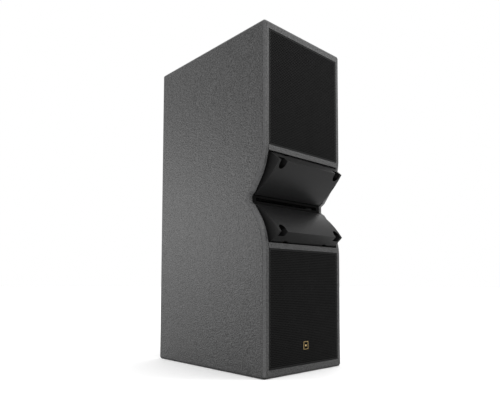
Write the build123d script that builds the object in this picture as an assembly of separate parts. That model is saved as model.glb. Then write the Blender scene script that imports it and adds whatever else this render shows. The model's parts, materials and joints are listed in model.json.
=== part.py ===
from build123d import *
import os
from math import asin, cos, hypot, radians, sin, tan

# A two-way line-array loudspeaker for fixed installation, standing on its narrow end.
# Millimetres. The origin is the middle of the footprint, on the floor; the front faces -Y and +Z is up.
# "Depth" is measured to the rear from the front face, and "off" is the height above the middle.
# The upper half is modelled, and the lower half mirrors it.

# Cabinet
HEIGHT = 1010.0
FRONT_WIDTH = 350.0
DEPTH = 538.0
WEDGE_ANGLE = 2.5  # degrees that each side panel leans in towards the rear
SIDE_THICKNESS = 18.0
END_THICKNESS = 23.0
EDGE_RADIUS = 9.0
RIDGE_PROUD = 29.5  # how far the fins stand out of the front face
FIT = 0.05  # radial clearance of a plain shaft in its hole
GAP = 0.3  # clearance between neighbours that don't touch
BEYOND = 60.0  # cutting solids run this far past what they cut

MID_Z = HEIGHT / 2
FRONT_Y = (RIDGE_PROUD - DEPTH) / 2
MID_PLANE = Plane.XY.offset(MID_Z)
LEAN = tan(radians(WEDGE_ANGLE))

# V notch of the side panels, in side view
MOUTH_OFF = 97.4  # half-height of the V where its straight sides would meet the front face
MOUTH_RADIUS = 180.0
STEP_DEPTH = 57.0  # where the sides of the V turn steeper, towards the throat
STEP_OFF = 18.5
STEP_RADIUS = 10.0
THROAT_OFF = 9.5
THROAT_DEPTH = 70.0
THROAT_RADIUS = 6.0

# Shelves, baffles and grilles
SHELF_OFF = 130.5  # underside of the upper shelf
SHELF_THICKNESS = 15.0
BAFFLE_DEPTH = 25.0
BAFFLE_THICKNESS = 18.0
GRILLE_GAP = 1.0
GRILLE_SHEET = 1.5
GRILLE_DEPTH = 0.5
GRILLE_RIM = 12.0
FOAM_THICKNESS = 5.0
CHAMBER_LOW = MID_Z + SHELF_OFF + SHELF_THICKNESS
CHAMBER_HIGH = HEIGHT - END_THICKNESS
CHAMBER_Z = (CHAMBER_LOW + CHAMBER_HIGH) / 2

# Badge on the lower grille
BADGE_WIDTH = 20.0
BADGE_HEIGHT = 22.5
BADGE_THICKNESS = 1.2
BADGE_Z = 79.0
BADGE_FRAME = 1.5

# Directivity fins, in side view as (depth, off)
FIN_HINGE = (67.0, 18.5)
FIN_NOSE_RADIUS = 5.5
FIN_NOSE_TURN = 2.5  # degrees between the horn face and the back
FIN_RIDGE = (-RIDGE_PROUD, 100.0)
FIN_RETURN = (3.5, 128.0)
FIN_BACK = (14.0, 128.0)
FIN_BOW = 6.0  # how far the horn face swells towards the axis
FIN_FRONT_HALF = 144.0  # half-length at the ridge
FIN_REAR_HALF = 150.0  # half-length at the hinge
FIN_CAVITY = [(-19.0, 102.5), (6.0, 121.5), (40.0, 121.5), (78.0, 50.0), (42.0, 42.0)]
FIN_CAVITY_HALF = 104.0
FIN_RIB = 5.0
FIN_RIB_X = (-52.0, 0.0, 52.0)
POCKET_X = 124.0
POCKET_RADIUS = 13.0
POCKET_OFF = 92.0  # centre of the pocket's rounded end, and of its screw
POCKET_TOP_OFF = 112.0
POCKET_FLOOR_DEPTH = 10.0
NOTCH_X = 90.0  # two finger notches through the fin's edge at the shelf
NOTCH_RADIUS = 25.0
NOTCH_DEPTH = 5.0

# Fin hinge pins and locking screws
PIN_RADIUS = 2.5
PIN_IN_PANEL = 8.0
PIN_IN_FIN = 14.0
LOCK_RADIUS = 4.0
LOCK_HEAD_RADIUS = 6.5
LOCK_HEAD = 8.0
LOCK_END_DEPTH = 62.0
LOCK_SLOT_WIDTH = 13.0
LOCK_SLOT_TRAVEL = 14.0

# Throat and V baffles
THROAT_FRAME_DEPTH = 73.0
THROAT_FRAME_THICKNESS = 15.0
THROAT_FRAME_OFF = 26.0
THROAT_TONGUE_OFF = 12.0
SLOT_HALF_LENGTH = 138.0
SLOT_HALF_HEIGHT = 5.0
V_BAFFLE_FRONT = 19.0
V_BAFFLE_REAR = 75.0
V_BAFFLE_THICKNESS = 17.0

# Waveguide and compression driver
WAVEGUIDE_GASKET = 2.0
WAVEGUIDE_LENGTH = 150.0
WAVEGUIDE_WALL = 5.0
WAVEGUIDE_ENTRY_RADIUS = 19.0
WAVEGUIDE_FLANGE = 8.0
WAVEGUIDE_FLANGE_OFF = 25.0
DRIVER_RADIUS = 85.0
DRIVER_BOLT_CIRCLE = 55.0
DRIVER_BOLT_RADIUS = 3.0
DRIVER_BOLTS = 4
COIL_RADIUS = 50.8
DIAPHRAGM_RISE = 12.0
DRIVER_FRONT_PLATE = 14.0
DRIVER_MAGNET = 20.0
DRIVER_TOP_PLATE = 8.0
DRIVER_COVER = 34.0
COVER_WALL = 3.0
COVER_RIM = 12.0
DRIVER_COIL_GAP = 1.0
DRIVER_POLE_BORE = 29.0
DRIVER_MAGNET_BORE = 60.8
DRIVER_BOLT_REACH = 11.0
DRIVER_BOLT_HEAD = 5.0
SUSPENSION_INNER = 51.6
SUSPENSION_OUTER = 62.8
SUSPENSION_SHEET = 0.5
SUSPENSION_SEAT = (58.8, 64.8)
SUSPENSION_RISE = 2.0
PHASE_CHANNEL = 3.0
PHASE_TIP_RADIUS = 4.0
PHASE_TIP = 8.0
PHASE_COLLAR = 8.0
PHASE_VANE = 2.0
PHASE_VANES = 3
FOIL_HALF_SHEET = 0.3
FORMER_REACH = 8.0

# Woofers
WOOFER_RADIUS = 152.0
WOOFER_CUTOUT = 139.0
WOOFER_FLANGE = 8.0
WOOFER_BOLT_CIRCLE = 146.0
WOOFER_BOLTS = 8
WOOFER_BOLT_RADIUS = 2.5
CONE_RADIUS = 118.0
SURROUND_OUTER = 134.0
WOOFER_COIL = 38.0
CONE_DEPTH = 46.0
CONE_WALL = 1.6
CAP_RISE = 14.0
BASKET_DEPTH = 80.0
BASKET_REAR_RADIUS = 84.0
BASKET_WINDOWS = 6
MOTOR_RADIUS = 88.0
TOP_PLATE = 9.0
WOOFER_MAGNET = 22.0
BACK_PLATE = 10.0
POLE_VENT_RADIUS = 12.0
SPIDER_DEPTH = 60.0
SPIDER_WAVES = 4
SPIDER_WAVE_HEIGHT = 3.0
BASKET_WALL = 5.0
BASKET_SKIRT = 12.0  # depth of the straight part behind the flange
BASKET_LEDGE = 87.0
MOTOR_SEAT_BORE = 44.0
WINDOW_WIDTH = 90.0
WINDOW_DEPTH = 38.0
WINDOW_MIDDLE = 35.0
WOOFER_COIL_GAP = 1.4
WOOFER_MAGNET_BORE = 50.0
PLATE_STEP = 5.0  # how far the steel plates sit inside the magnet's edge
FORMER_GROWTH = 0.5
FORMER_WALL = 1.0
FORMER_PAST_PLATE = 6.0
CONE_PROUD = 2.0
CAP_OVERLAP = 12.0
CAP_DEPTH = 38.8
CLOTH = 0.8
ROLL_DEPTH = 3.0
ROLL_SHARE = 0.6  # height of the surround's roll as a share of its half-width
WOOFER_BOLT_HEAD_RADIUS = 4.5
WOOFER_BOLT_HEAD = 3.5

# Bass-reflex ports
PORT_X = 121.0
PORT_OFF = 137.0  # from the middle of the woofer chamber
PORT_OUTER = 27.0
PORT_WALL = 3.0
PORT_LENGTH = 130.0

# Acoustic lining
LINING_THICKNESS = 35.0

# Connector plate in the rear panel
REBATE_WIDTH = 200.0
REBATE_HEIGHT = 120.0
REBATE_DEPTH = 5.0
WELL_WIDTH = 160.0
WELL_HEIGHT = 80.0
WELL_DEPTH = 26.0
PLATE_SHEET = 2.0
PLATE_GASKET = 1.0
PLATE_SCREW_RADIUS = 2.0
PLATE_SCREW_HEAD = 3.8
PLATE_SCREW_LENGTH = 12.0
SOCKET_X = 36.0
SOCKET_BODY_RADIUS = 14.0
SOCKET_BORE_RADIUS = 11.5
SOCKET_FLANGE = 31.0
SOCKET_LENGTH = 26.0
SOCKET_BORE_DEPTH = 21.0
SOCKET_LIP = 3.0
SOCKET_FLANGE_NARROW = 26.0
SOCKET_KEY_LENGTH = 25.0
SOCKET_KEY_WIDTH = 4.0
CONTACT_WIDTH = 5.0
CONTACT_THICKNESS = 1.0
CONTACT_CENTRE = 10.6
CONTACT_LENGTH = 10.5
CONTACTS = 4
SCREW_SLOT_WIDTH = 0.8

# Crossover
BOARD_LENGTH = 170.0
BOARD_WIDTH = 110.0
BOARD_THICKNESS = 2.0
BOARD_DEPTH = 400.0
SPACER_HEIGHT = 10.0
SPACER_RADIUS = 4.0
COIL_OUTER = 22.0
COIL_INNER = 10.0
COIL_HEIGHT = 20.0
CAPACITOR_RADIUS = 9.0
CAPACITOR_LENGTH = 40.0
BOARD_MARGIN = 10.0  # from the board's edge to a spacer
COIL_ROW = -22.0  # from the board's middle to its row of coils
CAPACITOR_ROW = 30.0
COMPONENT_X = (-50.0, 0.0)

# Internal wiring
WIRE_RADIUS = 2.5
WIRE_HOLE_RADIUS = 7.0
WIRE_X = 50.0
WIRE_DEPTH = 330.0
WIRE_BEND = 25.0
WIRE_WIDE_BEND = 60.0
WIRE_RISE = 30.0  # bends where a wire leaves the board upwards
WIRE_DROP = 20.0
FEED_DEPTH = 448.0
TWEETER_X = -20.0
TWEETER_DEPTH = 405.0
UPPER_WIRE_HEIGHTS = (90.0, 150.0)
LOWER_WIRE_DEPTH = 355.0
LOWER_WIRE_HEIGHT = 45.0

# Rigging inserts
INSERT_HOLE_RADIUS = 4.25
INSERT_OUTER_RADIUS = 7.0
INSERT_LENGTH = 16.0
INSERT_X = 90.0
INSERT_END_Y = 150.0
INSERT_REAR_OFF = 300.0

parts = {}


def at_depth(depth):
    """Y of the plane that lies this far behind the front face."""
    return FRONT_Y + depth


def half_width(depth, inset=0.0):
    """Half the cabinet's width at a depth, inside a layer of this thickness on each side panel."""
    return FRONT_WIDTH / 2 - inset / cos(radians(WEDGE_ANGLE)) - depth * LEAN


def trapezoid(near, far, near_half, far_half, low, high):
    """Upright prism between two depths, with its own half-width at each."""
    outline = Polyline(
        (-near_half, at_depth(near)),
        (near_half, at_depth(near)),
        (far_half, at_depth(far)),
        (-far_half, at_depth(far)),
        close=True,
    )
    return extrude(Plane.XY.offset(low) * make_face(outline), high - low)


def wedge(near, far, low, high, inset=0.0):
    """Solid between two depths and two heights that fills the cabinet from side to side."""
    return trapezoid(near, far, half_width(near, inset), half_width(far, inset), low, high)


def inside(near, far, low, high):
    """Wooden piece between the side panels."""
    return wedge(near, far, low, high, SIDE_THICKNESS)


def block(x, depth, z):
    """Box from three (low, high) pairs, the middle one in depths."""
    size = [high - low for low, high in (x, depth, z)]
    centre = ((x[0] + x[1]) / 2, at_depth((depth[0] + depth[1]) / 2), (z[0] + z[1]) / 2)
    return Pos(*centre) * Box(*size)


def across(outline, half=FRONT_WIDTH):
    """Prism of a closed side-view outline, running from side to side."""
    return extrude(Plane.YZ * make_face(outline), half, both=True)


def side(depth, off):
    """Side-view point from its depth and its height above the middle."""
    return (at_depth(depth), MID_Z + off)


def rearward(depth, z, x=0.0):
    """Plane whose local Z runs to the rear, for turned pieces that lie on the depth axis."""
    return Plane(origin=(x, at_depth(depth), z), x_dir=(1, 0, 0), z_dir=(0, 1, 0))


def turned(*profile):
    """Solid of revolution about local Z from (radius, height) points."""
    return revolve(Plane.XZ * make_face(Polyline(*profile, close=True)), Axis.Z)


def ring(inner, outer, low, high):
    """Tube about local Z."""
    return turned((inner, low), (outer, low), (outer, high), (inner, high))


def rod(radius, low, high):
    """Cylinder about local Z."""
    return Pos(0, 0, (low + high) / 2) * Cylinder(radius, high - low)


def round_the_axis(piece, radius, count, start=0.0):
    """Copies of a piece in a circle about local Z."""
    return [Pos(*place.position) * piece for place in PolarLocations(radius, count, start)]


def round_the_axis_turned(piece, count):
    """Copies of a piece turned about local Z."""
    return [Rot(0, 0, 360 / count * index) * piece for index in range(count)]


def add_halves(name, piece):
    """Upper piece and its mirror image in the lower half."""
    parts["upper_" + name] = piece
    parts["lower_" + name] = mirror(piece, about=MID_PLANE)


def as_group(pieces):
    """Separate solids that share one node."""
    return Compound(children=[solid for piece in pieces for solid in piece.solids()])


# ---------------------------------------------------------------- cabinet


def cabinet_envelope():
    """Outer shape of the cabinet: a wedge in plan, with the V notch and every outer edge rounded."""
    radii = [MOUTH_RADIUS, STEP_RADIUS, THROAT_RADIUS]
    front = FilletPolyline(
        side(0, MID_Z),
        side(0, MOUTH_OFF),
        side(STEP_DEPTH, STEP_OFF),
        side(THROAT_DEPTH, THROAT_OFF),
        side(THROAT_DEPTH, -THROAT_OFF),
        side(STEP_DEPTH, -STEP_OFF),
        side(0, -MOUTH_OFF),
        side(0, -MID_Z),
        radius=radii + radii[::-1],
    )
    back = Polyline(side(0, -MID_Z), side(DEPTH, -MID_Z), side(DEPTH, MID_Z), side(0, MID_Z))
    body = across([front, back]) & wedge(0, DEPTH, 0, HEIGHT)
    sideways = cos(radians(2 * WEDGE_ANGLE))
    side_faces = body.faces().filter_by(lambda face: abs(face.normal_at().X) > sideways)
    across_edges = body.edges().filter_by(Axis.X)
    end_edges = across_edges.filter_by(lambda edge: abs(edge.center().Z - MID_Z) > MID_Z - EDGE_RADIUS)
    return fillet(side_faces.edges() + end_edges, EDGE_RADIUS)


def hinge_pin_axes(radius, x_from, x_to):
    """Cylinders on both fin hinge axes, left and right, between two distances from the middle."""
    cylinders = []
    for off in (FIN_HINGE[1], -FIN_HINGE[1]):
        for hand in (-1, 1):
            centre = (hand * (x_from + x_to) / 2, at_depth(FIN_HINGE[0]), MID_Z + off)
            cylinders.append(Pos(*centre) * Rot(0, 90, 0) * Cylinder(radius, x_to - x_from))
    return cylinders


def insert_planes():
    """Planes of the rigging inserts, with local Z pointing out of the cabinet."""
    planes = []
    for x in (-INSERT_X, INSERT_X):
        for y in (-INSERT_END_Y, INSERT_END_Y):
            planes.append(Plane(origin=(x, y, HEIGHT), x_dir=(1, 0, 0), z_dir=(0, 0, 1)))
            planes.append(Plane(origin=(x, y, 0), x_dir=(1, 0, 0), z_dir=(0, 0, -1)))
        for off in (-INSERT_REAR_OFF, INSERT_REAR_OFF):
            planes.append(Plane(origin=(x, at_depth(DEPTH), MID_Z + off), x_dir=(1, 0, 0), z_dir=(0, 1, 0)))
    return planes


def insert_seats():
    """Holes in the wood that the rigging inserts are glued into."""
    return [plane * rod(INSERT_OUTER_RADIUS + FIT, -INSERT_LENGTH, BEYOND) for plane in insert_planes()]


def rigging_inserts():
    """Steel sleeves with a threaded hole, flush with the cabinet."""
    sleeve = ring(INSERT_HOLE_RADIUS, INSERT_OUTER_RADIUS, -INSERT_LENGTH, 0)
    return as_group([plane * sleeve for plane in insert_planes()])


def connector_opening():
    """Stepped hole in the rear panel for the connector plate."""
    step_low = DEPTH - REBATE_DEPTH
    rebate = block(
        (-REBATE_WIDTH / 2, REBATE_WIDTH / 2),
        (step_low, DEPTH + BEYOND),
        (MID_Z - REBATE_HEIGHT / 2, MID_Z + REBATE_HEIGHT / 2),
    )
    well_x = WELL_WIDTH / 2 + PLATE_SHEET + GAP
    well_z = WELL_HEIGHT / 2 + PLATE_SHEET + GAP
    well = block((-well_x, well_x), (DEPTH - BEYOND, DEPTH), (MID_Z - well_z, MID_Z + well_z))
    screws = [plane * rod(PLATE_SCREW_RADIUS + FIT, -BEYOND, 0) for plane in plate_screw_planes()]
    depth_limit = inside(DEPTH - REBATE_DEPTH - PLATE_SCREW_LENGTH, DEPTH, 0, HEIGHT)
    return rebate + well + [screw & depth_limit for screw in screws]


def cabinet_panels():
    """Side, top, bottom and rear panels and the two shelves."""
    envelope = cabinet_envelope()
    seats = insert_seats()
    walls = envelope - wedge(-BEYOND, DEPTH + BEYOND, -BEYOND, HEIGHT + BEYOND, SIDE_THICKNESS)
    panel_inner = half_width(FIN_HINGE[0], SIDE_THICKNESS)
    walls -= hinge_pin_axes(PIN_RADIUS + FIT, FIN_REAR_HALF, panel_inner + PIN_IN_PANEL)
    left, right = walls.solids().sort_by(Axis.X)
    parts["side_panel_left"] = left
    parts["side_panel_right"] = right
    parts["top_panel"] = (envelope & inside(-BEYOND, DEPTH + BEYOND, CHAMBER_HIGH, HEIGHT)) - seats
    parts["bottom_panel"] = (envelope & inside(-BEYOND, DEPTH + BEYOND, 0, END_THICKNESS)) - seats
    rear = inside(DEPTH - SIDE_THICKNESS, DEPTH, END_THICKNESS, CHAMBER_HIGH)
    parts["rear_panel"] = rear - seats - connector_opening()
    shelf = inside(0, DEPTH - SIDE_THICKNESS, MID_Z + SHELF_OFF, CHAMBER_LOW)
    wire_hole = Pos(WIRE_X, at_depth(WIRE_DEPTH), MID_Z + SHELF_OFF) * Cylinder(WIRE_HOLE_RADIUS, BEYOND)
    add_halves("shelf", shelf - wire_hole)
    parts["rigging_inserts"] = rigging_inserts()


def woofer_plane():
    """Centre of the upper woofer on the front of its baffle, with local Z to the rear."""
    return rearward(BAFFLE_DEPTH, CHAMBER_Z)


def port_places():
    """Local centres of the reflex ports in the corners of a woofer baffle."""
    return [(x, z) for x in (-PORT_X, PORT_X) for z in (-PORT_OFF, PORT_OFF)]


def woofer_baffle():
    """Board behind the grille that carries the woofer and its four reflex ports."""
    board = inside(BAFFLE_DEPTH, BAFFLE_DEPTH + BAFFLE_THICKNESS, CHAMBER_LOW, CHAMBER_HIGH)
    cuts = [rod(WOOFER_CUTOUT, -BEYOND, BEYOND)]
    cuts += [Pos(x, z, 0) * rod(PORT_OUTER + FIT, -BEYOND, BEYOND) for x, z in port_places()]
    bolt_hole = rod(WOOFER_BOLT_RADIUS + FIT, -BEYOND, BEYOND)
    cuts += round_the_axis(bolt_hole, WOOFER_BOLT_CIRCLE, WOOFER_BOLTS)
    return board - [woofer_plane() * cut for cut in cuts]


def reflex_ports():
    """Four plain tubes in the corners of the baffle."""
    tube = ring(PORT_OUTER - PORT_WALL, PORT_OUTER, 0, PORT_LENGTH)
    return as_group([woofer_plane() * Pos(x, z, 0) * tube for x, z in port_places()])


def grille():
    """Steel sheet with a folded rim, flush with the cabinet's front. Its fine holes are left out."""
    inset = SIDE_THICKNESS + GRILLE_GAP
    low, high = CHAMBER_LOW + GRILLE_GAP, CHAMBER_HIGH - GRILLE_GAP
    half = half_width(GRILLE_RIM, inset)
    outer = block((-half, half), (GRILLE_DEPTH, GRILLE_RIM), (low, high))
    inner = block(
        (-half + GRILLE_SHEET, half - GRILLE_SHEET),
        (GRILLE_DEPTH + GRILLE_SHEET, GRILLE_RIM + BEYOND),
        (low + GRILLE_SHEET, high - GRILLE_SHEET),
    )
    return outer - inner


def grille_foam():
    """Thin open-cell foam glued behind the grille."""
    half = half_width(GRILLE_RIM, SIDE_THICKNESS + GRILLE_GAP) - GRILLE_SHEET - GAP
    edge = GRILLE_GAP + GRILLE_SHEET + GAP
    near = GRILLE_DEPTH + GRILLE_SHEET
    return block((-half, half), (near, near + FOAM_THICKNESS), (CHAMBER_LOW + edge, CHAMBER_HIGH - edge))


def badge():
    """Small raised plate on the lower grille: a frame round a sunk panel."""
    half, tall = BADGE_WIDTH / 2, BADGE_HEIGHT / 2
    front = GRILLE_DEPTH - BADGE_THICKNESS
    plate = block((-half, half), (front, GRILLE_DEPTH), (BADGE_Z - tall, BADGE_Z + tall))
    panel = block(
        (-half + BADGE_FRAME, half - BADGE_FRAME),
        (front - BEYOND, front + BADGE_THICKNESS / 2),
        (BADGE_Z - tall + BADGE_FRAME, BADGE_Z + tall - BADGE_FRAME),
    )
    return plate - panel


def lining():
    """Foam on the rear panel and the side panels of a woofer chamber, as three slabs."""
    low, high = CHAMBER_LOW + GAP, CHAMBER_HIGH - GAP
    rear_near = DEPTH - SIDE_THICKNESS - LINING_THICKNESS
    skin = SIDE_THICKNESS + GAP
    rear = wedge(rear_near, DEPTH - SIDE_THICKNESS - GAP, low, high, skin)
    side_near = BAFFLE_DEPTH + BAFFLE_THICKNESS + PORT_LENGTH
    sides = wedge(side_near, rear_near - GAP, low, high, skin)
    hollow = wedge(side_near - BEYOND, rear_near + BEYOND, low - GAP, high + GAP, skin + LINING_THICKNESS)
    return as_group([rear, sides - hollow])


# ---------------------------------------------------------------- fins and horn


def fin_outline():
    """Side view of the upper fin: nose on the hinge, bowed horn face, ridge, return and slanting back."""
    hinge, ridge = Vector(*FIN_HINGE), Vector(*FIN_RIDGE)
    run = hypot(ridge.X - hinge.X, ridge.Y - hinge.Y)
    outward = Vector((hinge.Y - ridge.Y) / run, (ridge.X - hinge.X) / run)
    nose_front = hinge + outward * FIN_NOSE_RADIUS
    nose_low = hinge - Vector(0, FIN_NOSE_RADIUS)
    nose_back = hinge - outward.rotate(Axis.Z, FIN_NOSE_TURN) * FIN_NOSE_RADIUS
    bulge = (nose_front + ridge) / 2 + outward * FIN_BOW
    points = [nose_front, bulge, ridge, Vector(*FIN_RETURN), Vector(*FIN_BACK), nose_back, nose_low]
    front, middle, tip, edge, corner, back, low = [side(point.X, point.Y) for point in points]
    return [
        ThreePointArc(front, middle, tip),
        Polyline(tip, edge, corner, back),
        ThreePointArc(back, low, front),
    ]


def fin_cavity():
    """Hollow in the back of the fin, in bays between the ribs."""
    hollow = across(Polyline(*[side(*point) for point in FIN_CAVITY], close=True), FIN_CAVITY_HALF)
    for x in FIN_RIB_X:
        hollow -= block((x - FIN_RIB / 2, x + FIN_RIB / 2), (-BEYOND, 2 * BEYOND), (MID_Z, HEIGHT))
    return hollow


def fin_pocket(x):
    """Screw pocket that opens through the horn face and the ridge, and the hole for its screw."""
    reach = (-BEYOND, POCKET_FLOOR_DEPTH)
    width = (x - POCKET_RADIUS, x + POCKET_RADIUS)
    slot = block(width, reach, (MID_Z + POCKET_OFF, MID_Z + POCKET_TOP_OFF))
    place = rearward(0, MID_Z + POCKET_OFF, x)
    return slot + place * rod(POCKET_RADIUS, *reach) + place * rod(LOCK_RADIUS + GAP, -BEYOND, BEYOND)


def fin():
    """Moulded fin: horn face and return over a ribbed back, with bores for its two hinge pins."""
    body = across(fin_outline())
    hinge_depth = FIN_HINGE[0]
    reach = trapezoid(-RIDGE_PROUD, hinge_depth, FIN_FRONT_HALF, FIN_REAR_HALF, MID_Z, HEIGHT)
    reach += trapezoid(hinge_depth, THROAT_FRAME_DEPTH, FIN_REAR_HALF, FIN_REAR_HALF, MID_Z, HEIGHT)
    body &= reach
    body -= fin_cavity()
    body -= [fin_pocket(x) for x in (-POCKET_X, POCKET_X)]
    body -= hinge_pin_axes(PIN_RADIUS + FIT, FIN_REAR_HALF - PIN_IN_FIN - GAP, FIN_REAR_HALF + BEYOND)
    for x in (-NOTCH_X, NOTCH_X):
        centre = MID_Z + FIN_RETURN[1] - NOTCH_DEPTH + NOTCH_RADIUS
        body -= rearward(0, centre, x) * rod(NOTCH_RADIUS, -BEYOND, BEYOND)
    return body


def hinge_pins():
    """Four steel pins, glued into the side panels, on which the fins turn."""
    outer = half_width(FIN_HINGE[0], SIDE_THICKNESS) + PIN_IN_PANEL - GAP
    return as_group(hinge_pin_axes(PIN_RADIUS, FIN_REAR_HALF - PIN_IN_FIN, outer))


def lock_screws():
    """Two hexagon-socket screws that hold a fin at the angle it is set to."""
    head_low = POCKET_FLOOR_DEPTH - LOCK_HEAD
    screw = rod(LOCK_HEAD_RADIUS, head_low, POCKET_FLOOR_DEPTH)
    screw += rod(LOCK_RADIUS, POCKET_FLOOR_DEPTH, LOCK_END_DEPTH)
    key = extrude(Plane.XY.offset(head_low) * RegularPolygon(LOCK_RADIUS, 6), LOCK_HEAD / 2)
    return as_group([rearward(0, MID_Z + POCKET_OFF, x) * (screw - key) for x in (-POCKET_X, POCKET_X)])


def v_baffle():
    """Slanting board behind a fin, from the shelf to the throat frame, slotted for the lock screws."""
    outline = Polyline(
        side(V_BAFFLE_FRONT, SHELF_OFF),
        side(V_BAFFLE_REAR, THROAT_FRAME_OFF),
        side(V_BAFFLE_REAR + V_BAFFLE_THICKNESS, THROAT_FRAME_OFF),
        side(V_BAFFLE_FRONT + V_BAFFLE_THICKNESS, SHELF_OFF),
        close=True,
    )
    board = across(outline) & inside(0, DEPTH / 2, 0, HEIGHT)
    half, travel = LOCK_SLOT_WIDTH / 2, LOCK_SLOT_TRAVEL / 2
    for x in (-POCKET_X, POCKET_X):
        centre = MID_Z + POCKET_OFF
        board -= block((x - half, x + half), (0, DEPTH / 2), (centre - travel - half, centre + half))
    return board


def throat_frame():
    """Moulded bar between the V baffles with the long slot of the horn throat."""
    far = THROAT_FRAME_DEPTH + THROAT_FRAME_THICKNESS
    bar = inside(THROAT_FRAME_DEPTH, far, MID_Z - THROAT_FRAME_OFF, MID_Z + THROAT_FRAME_OFF)
    bar += inside(THROAT_DEPTH, THROAT_FRAME_DEPTH, MID_Z - THROAT_TONGUE_OFF, MID_Z + THROAT_TONGUE_OFF)
    return bar - throat_slot(0, far + BEYOND)


def throat_slot(near, far):
    """Long narrow opening that the sound comes out of."""
    height = (MID_Z - SLOT_HALF_HEIGHT, MID_Z + SLOT_HALF_HEIGHT)
    return block((-SLOT_HALF_LENGTH, SLOT_HALF_LENGTH), (near, far), height)


def waveguide():
    """Horn passage from the round mouth of the driver to the long slot, with a flange at each end."""
    near = waveguide_depth()
    far = near + WAVEGUIDE_LENGTH
    slot, entry = rearward(near, MID_Z), rearward(far, MID_Z)
    wall = WAVEGUIDE_WALL
    outer_slot = slot * Rectangle(2 * (SLOT_HALF_LENGTH + wall), 2 * (SLOT_HALF_HEIGHT + wall))
    inner_slot = slot * Rectangle(2 * SLOT_HALF_LENGTH, 2 * SLOT_HALF_HEIGHT)
    body = loft([outer_slot, entry * Circle(WAVEGUIDE_ENTRY_RADIUS + wall)])
    body += block(
        (-SLOT_HALF_LENGTH - 2 * wall, SLOT_HALF_LENGTH + 2 * wall),
        (near, near + WAVEGUIDE_FLANGE),
        (MID_Z - WAVEGUIDE_FLANGE_OFF, MID_Z + WAVEGUIDE_FLANGE_OFF),
    )
    body += entry * rod(DRIVER_BOLT_CIRCLE + 2 * wall, -WAVEGUIDE_FLANGE, 0)
    body -= loft([inner_slot, entry * Circle(WAVEGUIDE_ENTRY_RADIUS)])
    hole = rod(DRIVER_BOLT_RADIUS + FIT, -2 * WAVEGUIDE_FLANGE, BEYOND)
    return body - [entry * copy for copy in round_the_axis(hole, DRIVER_BOLT_CIRCLE, DRIVER_BOLTS)]


def waveguide_depth():
    """Depth of the waveguide's front flange."""
    return THROAT_FRAME_DEPTH + THROAT_FRAME_THICKNESS + WAVEGUIDE_GASKET


def waveguide_gasket():
    """Soft frame between the throat frame and the waveguide."""
    far = waveguide_depth()
    half = SLOT_HALF_LENGTH + 2 * WAVEGUIDE_WALL
    height = (MID_Z - WAVEGUIDE_FLANGE_OFF, MID_Z + WAVEGUIDE_FLANGE_OFF)
    sheet = block((-half, half), (far - WAVEGUIDE_GASKET, far), height)
    return sheet - throat_slot(0, far + BEYOND)


# ---------------------------------------------------------------- compression driver


def driver_plane():
    """Where the driver meets the waveguide, with local Z to the rear."""
    return rearward(waveguide_depth() + WAVEGUIDE_LENGTH, MID_Z)


def compression_driver():
    """High-frequency driver: plates, ring magnet, phase plug, domed diaphragm and rear cover."""
    plane = driver_plane()
    magnet_low = DRIVER_FRONT_PLATE
    plate_low = magnet_low + DRIVER_MAGNET
    plate_high = plate_low + DRIVER_TOP_PLATE
    dome_low = plate_high + SUSPENSION_RISE
    front_plate = ring(WAVEGUIDE_ENTRY_RADIUS, DRIVER_RADIUS, 0, magnet_low)
    front_plate += ring(DRIVER_POLE_BORE, COIL_RADIUS - DRIVER_COIL_GAP, magnet_low, plate_high)
    bolt_hole = rod(DRIVER_BOLT_RADIUS + FIT, -BEYOND, DRIVER_BOLT_REACH + GAP)
    front_plate -= round_the_axis(bolt_hole, DRIVER_BOLT_CIRCLE, DRIVER_BOLTS)
    parts["driver_front_plate"] = plane * front_plate
    parts["driver_magnet"] = plane * ring(DRIVER_MAGNET_BORE, DRIVER_RADIUS, magnet_low, plate_low)
    top_plate = ring(COIL_RADIUS + DRIVER_COIL_GAP, DRIVER_RADIUS, plate_low, plate_high)
    parts["driver_top_plate"] = plane * top_plate
    parts["driver_phase_plug"] = plane * phase_plug(magnet_low, plate_high)
    parts["driver_diaphragm"] = plane * diaphragm(dome_low)
    suspension = ring(SUSPENSION_INNER, SUSPENSION_OUTER, dome_low, dome_low + SUSPENSION_SHEET)
    parts["driver_suspension"] = plane * (suspension + ring(*SUSPENSION_SEAT, plate_high, dome_low))
    parts["driver_rear_cover"] = plane * driver_cover(plate_high)
    bolt = rod(DRIVER_BOLT_RADIUS, -WAVEGUIDE_FLANGE, DRIVER_BOLT_REACH)
    bolt += rod(DRIVER_BOLT_HEAD, -WAVEGUIDE_FLANGE - DRIVER_BOLT_HEAD, -WAVEGUIDE_FLANGE)
    bolts = round_the_axis(bolt, DRIVER_BOLT_CIRCLE, DRIVER_BOLTS)
    parts["driver_bolts"] = as_group([plane * piece for piece in bolts])


def phase_plug(low, high):
    """Bullet in the middle of the driver and a collar round it, joined by vanes."""
    outer = DRIVER_POLE_BORE - FIT
    inner = outer - PHASE_COLLAR
    bullet_radius = WAVEGUIDE_ENTRY_RADIUS - PHASE_CHANNEL
    bullet = turned(
        (0, low - PHASE_TIP),
        (PHASE_TIP_RADIUS, low - PHASE_TIP / 2),
        (bullet_radius, high - PHASE_TIP),
        (bullet_radius, high),
        (0, high),
    )
    width = inner - bullet_radius + PHASE_CHANNEL
    middle = Pos((bullet_radius + inner) / 2, 0, (low + high) / 2)
    vane = middle * Box(width, PHASE_VANE, high - low - PHASE_TIP)
    return bullet + ring(inner, outer, low, high) + round_the_axis_turned(vane, PHASE_VANES)


def dome_arc(rim, base, rise):
    """Half section of a spherical cap, from its top on the axis down to its rim."""
    sphere = (rim**2 + rise**2) / (2 * rise)
    half_angle = asin(rim / sphere) / 2
    middle = (sphere * sin(half_angle), base + rise - sphere * (1 - cos(half_angle)))
    return ThreePointArc((0, base + rise), middle, (rim, base))


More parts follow.
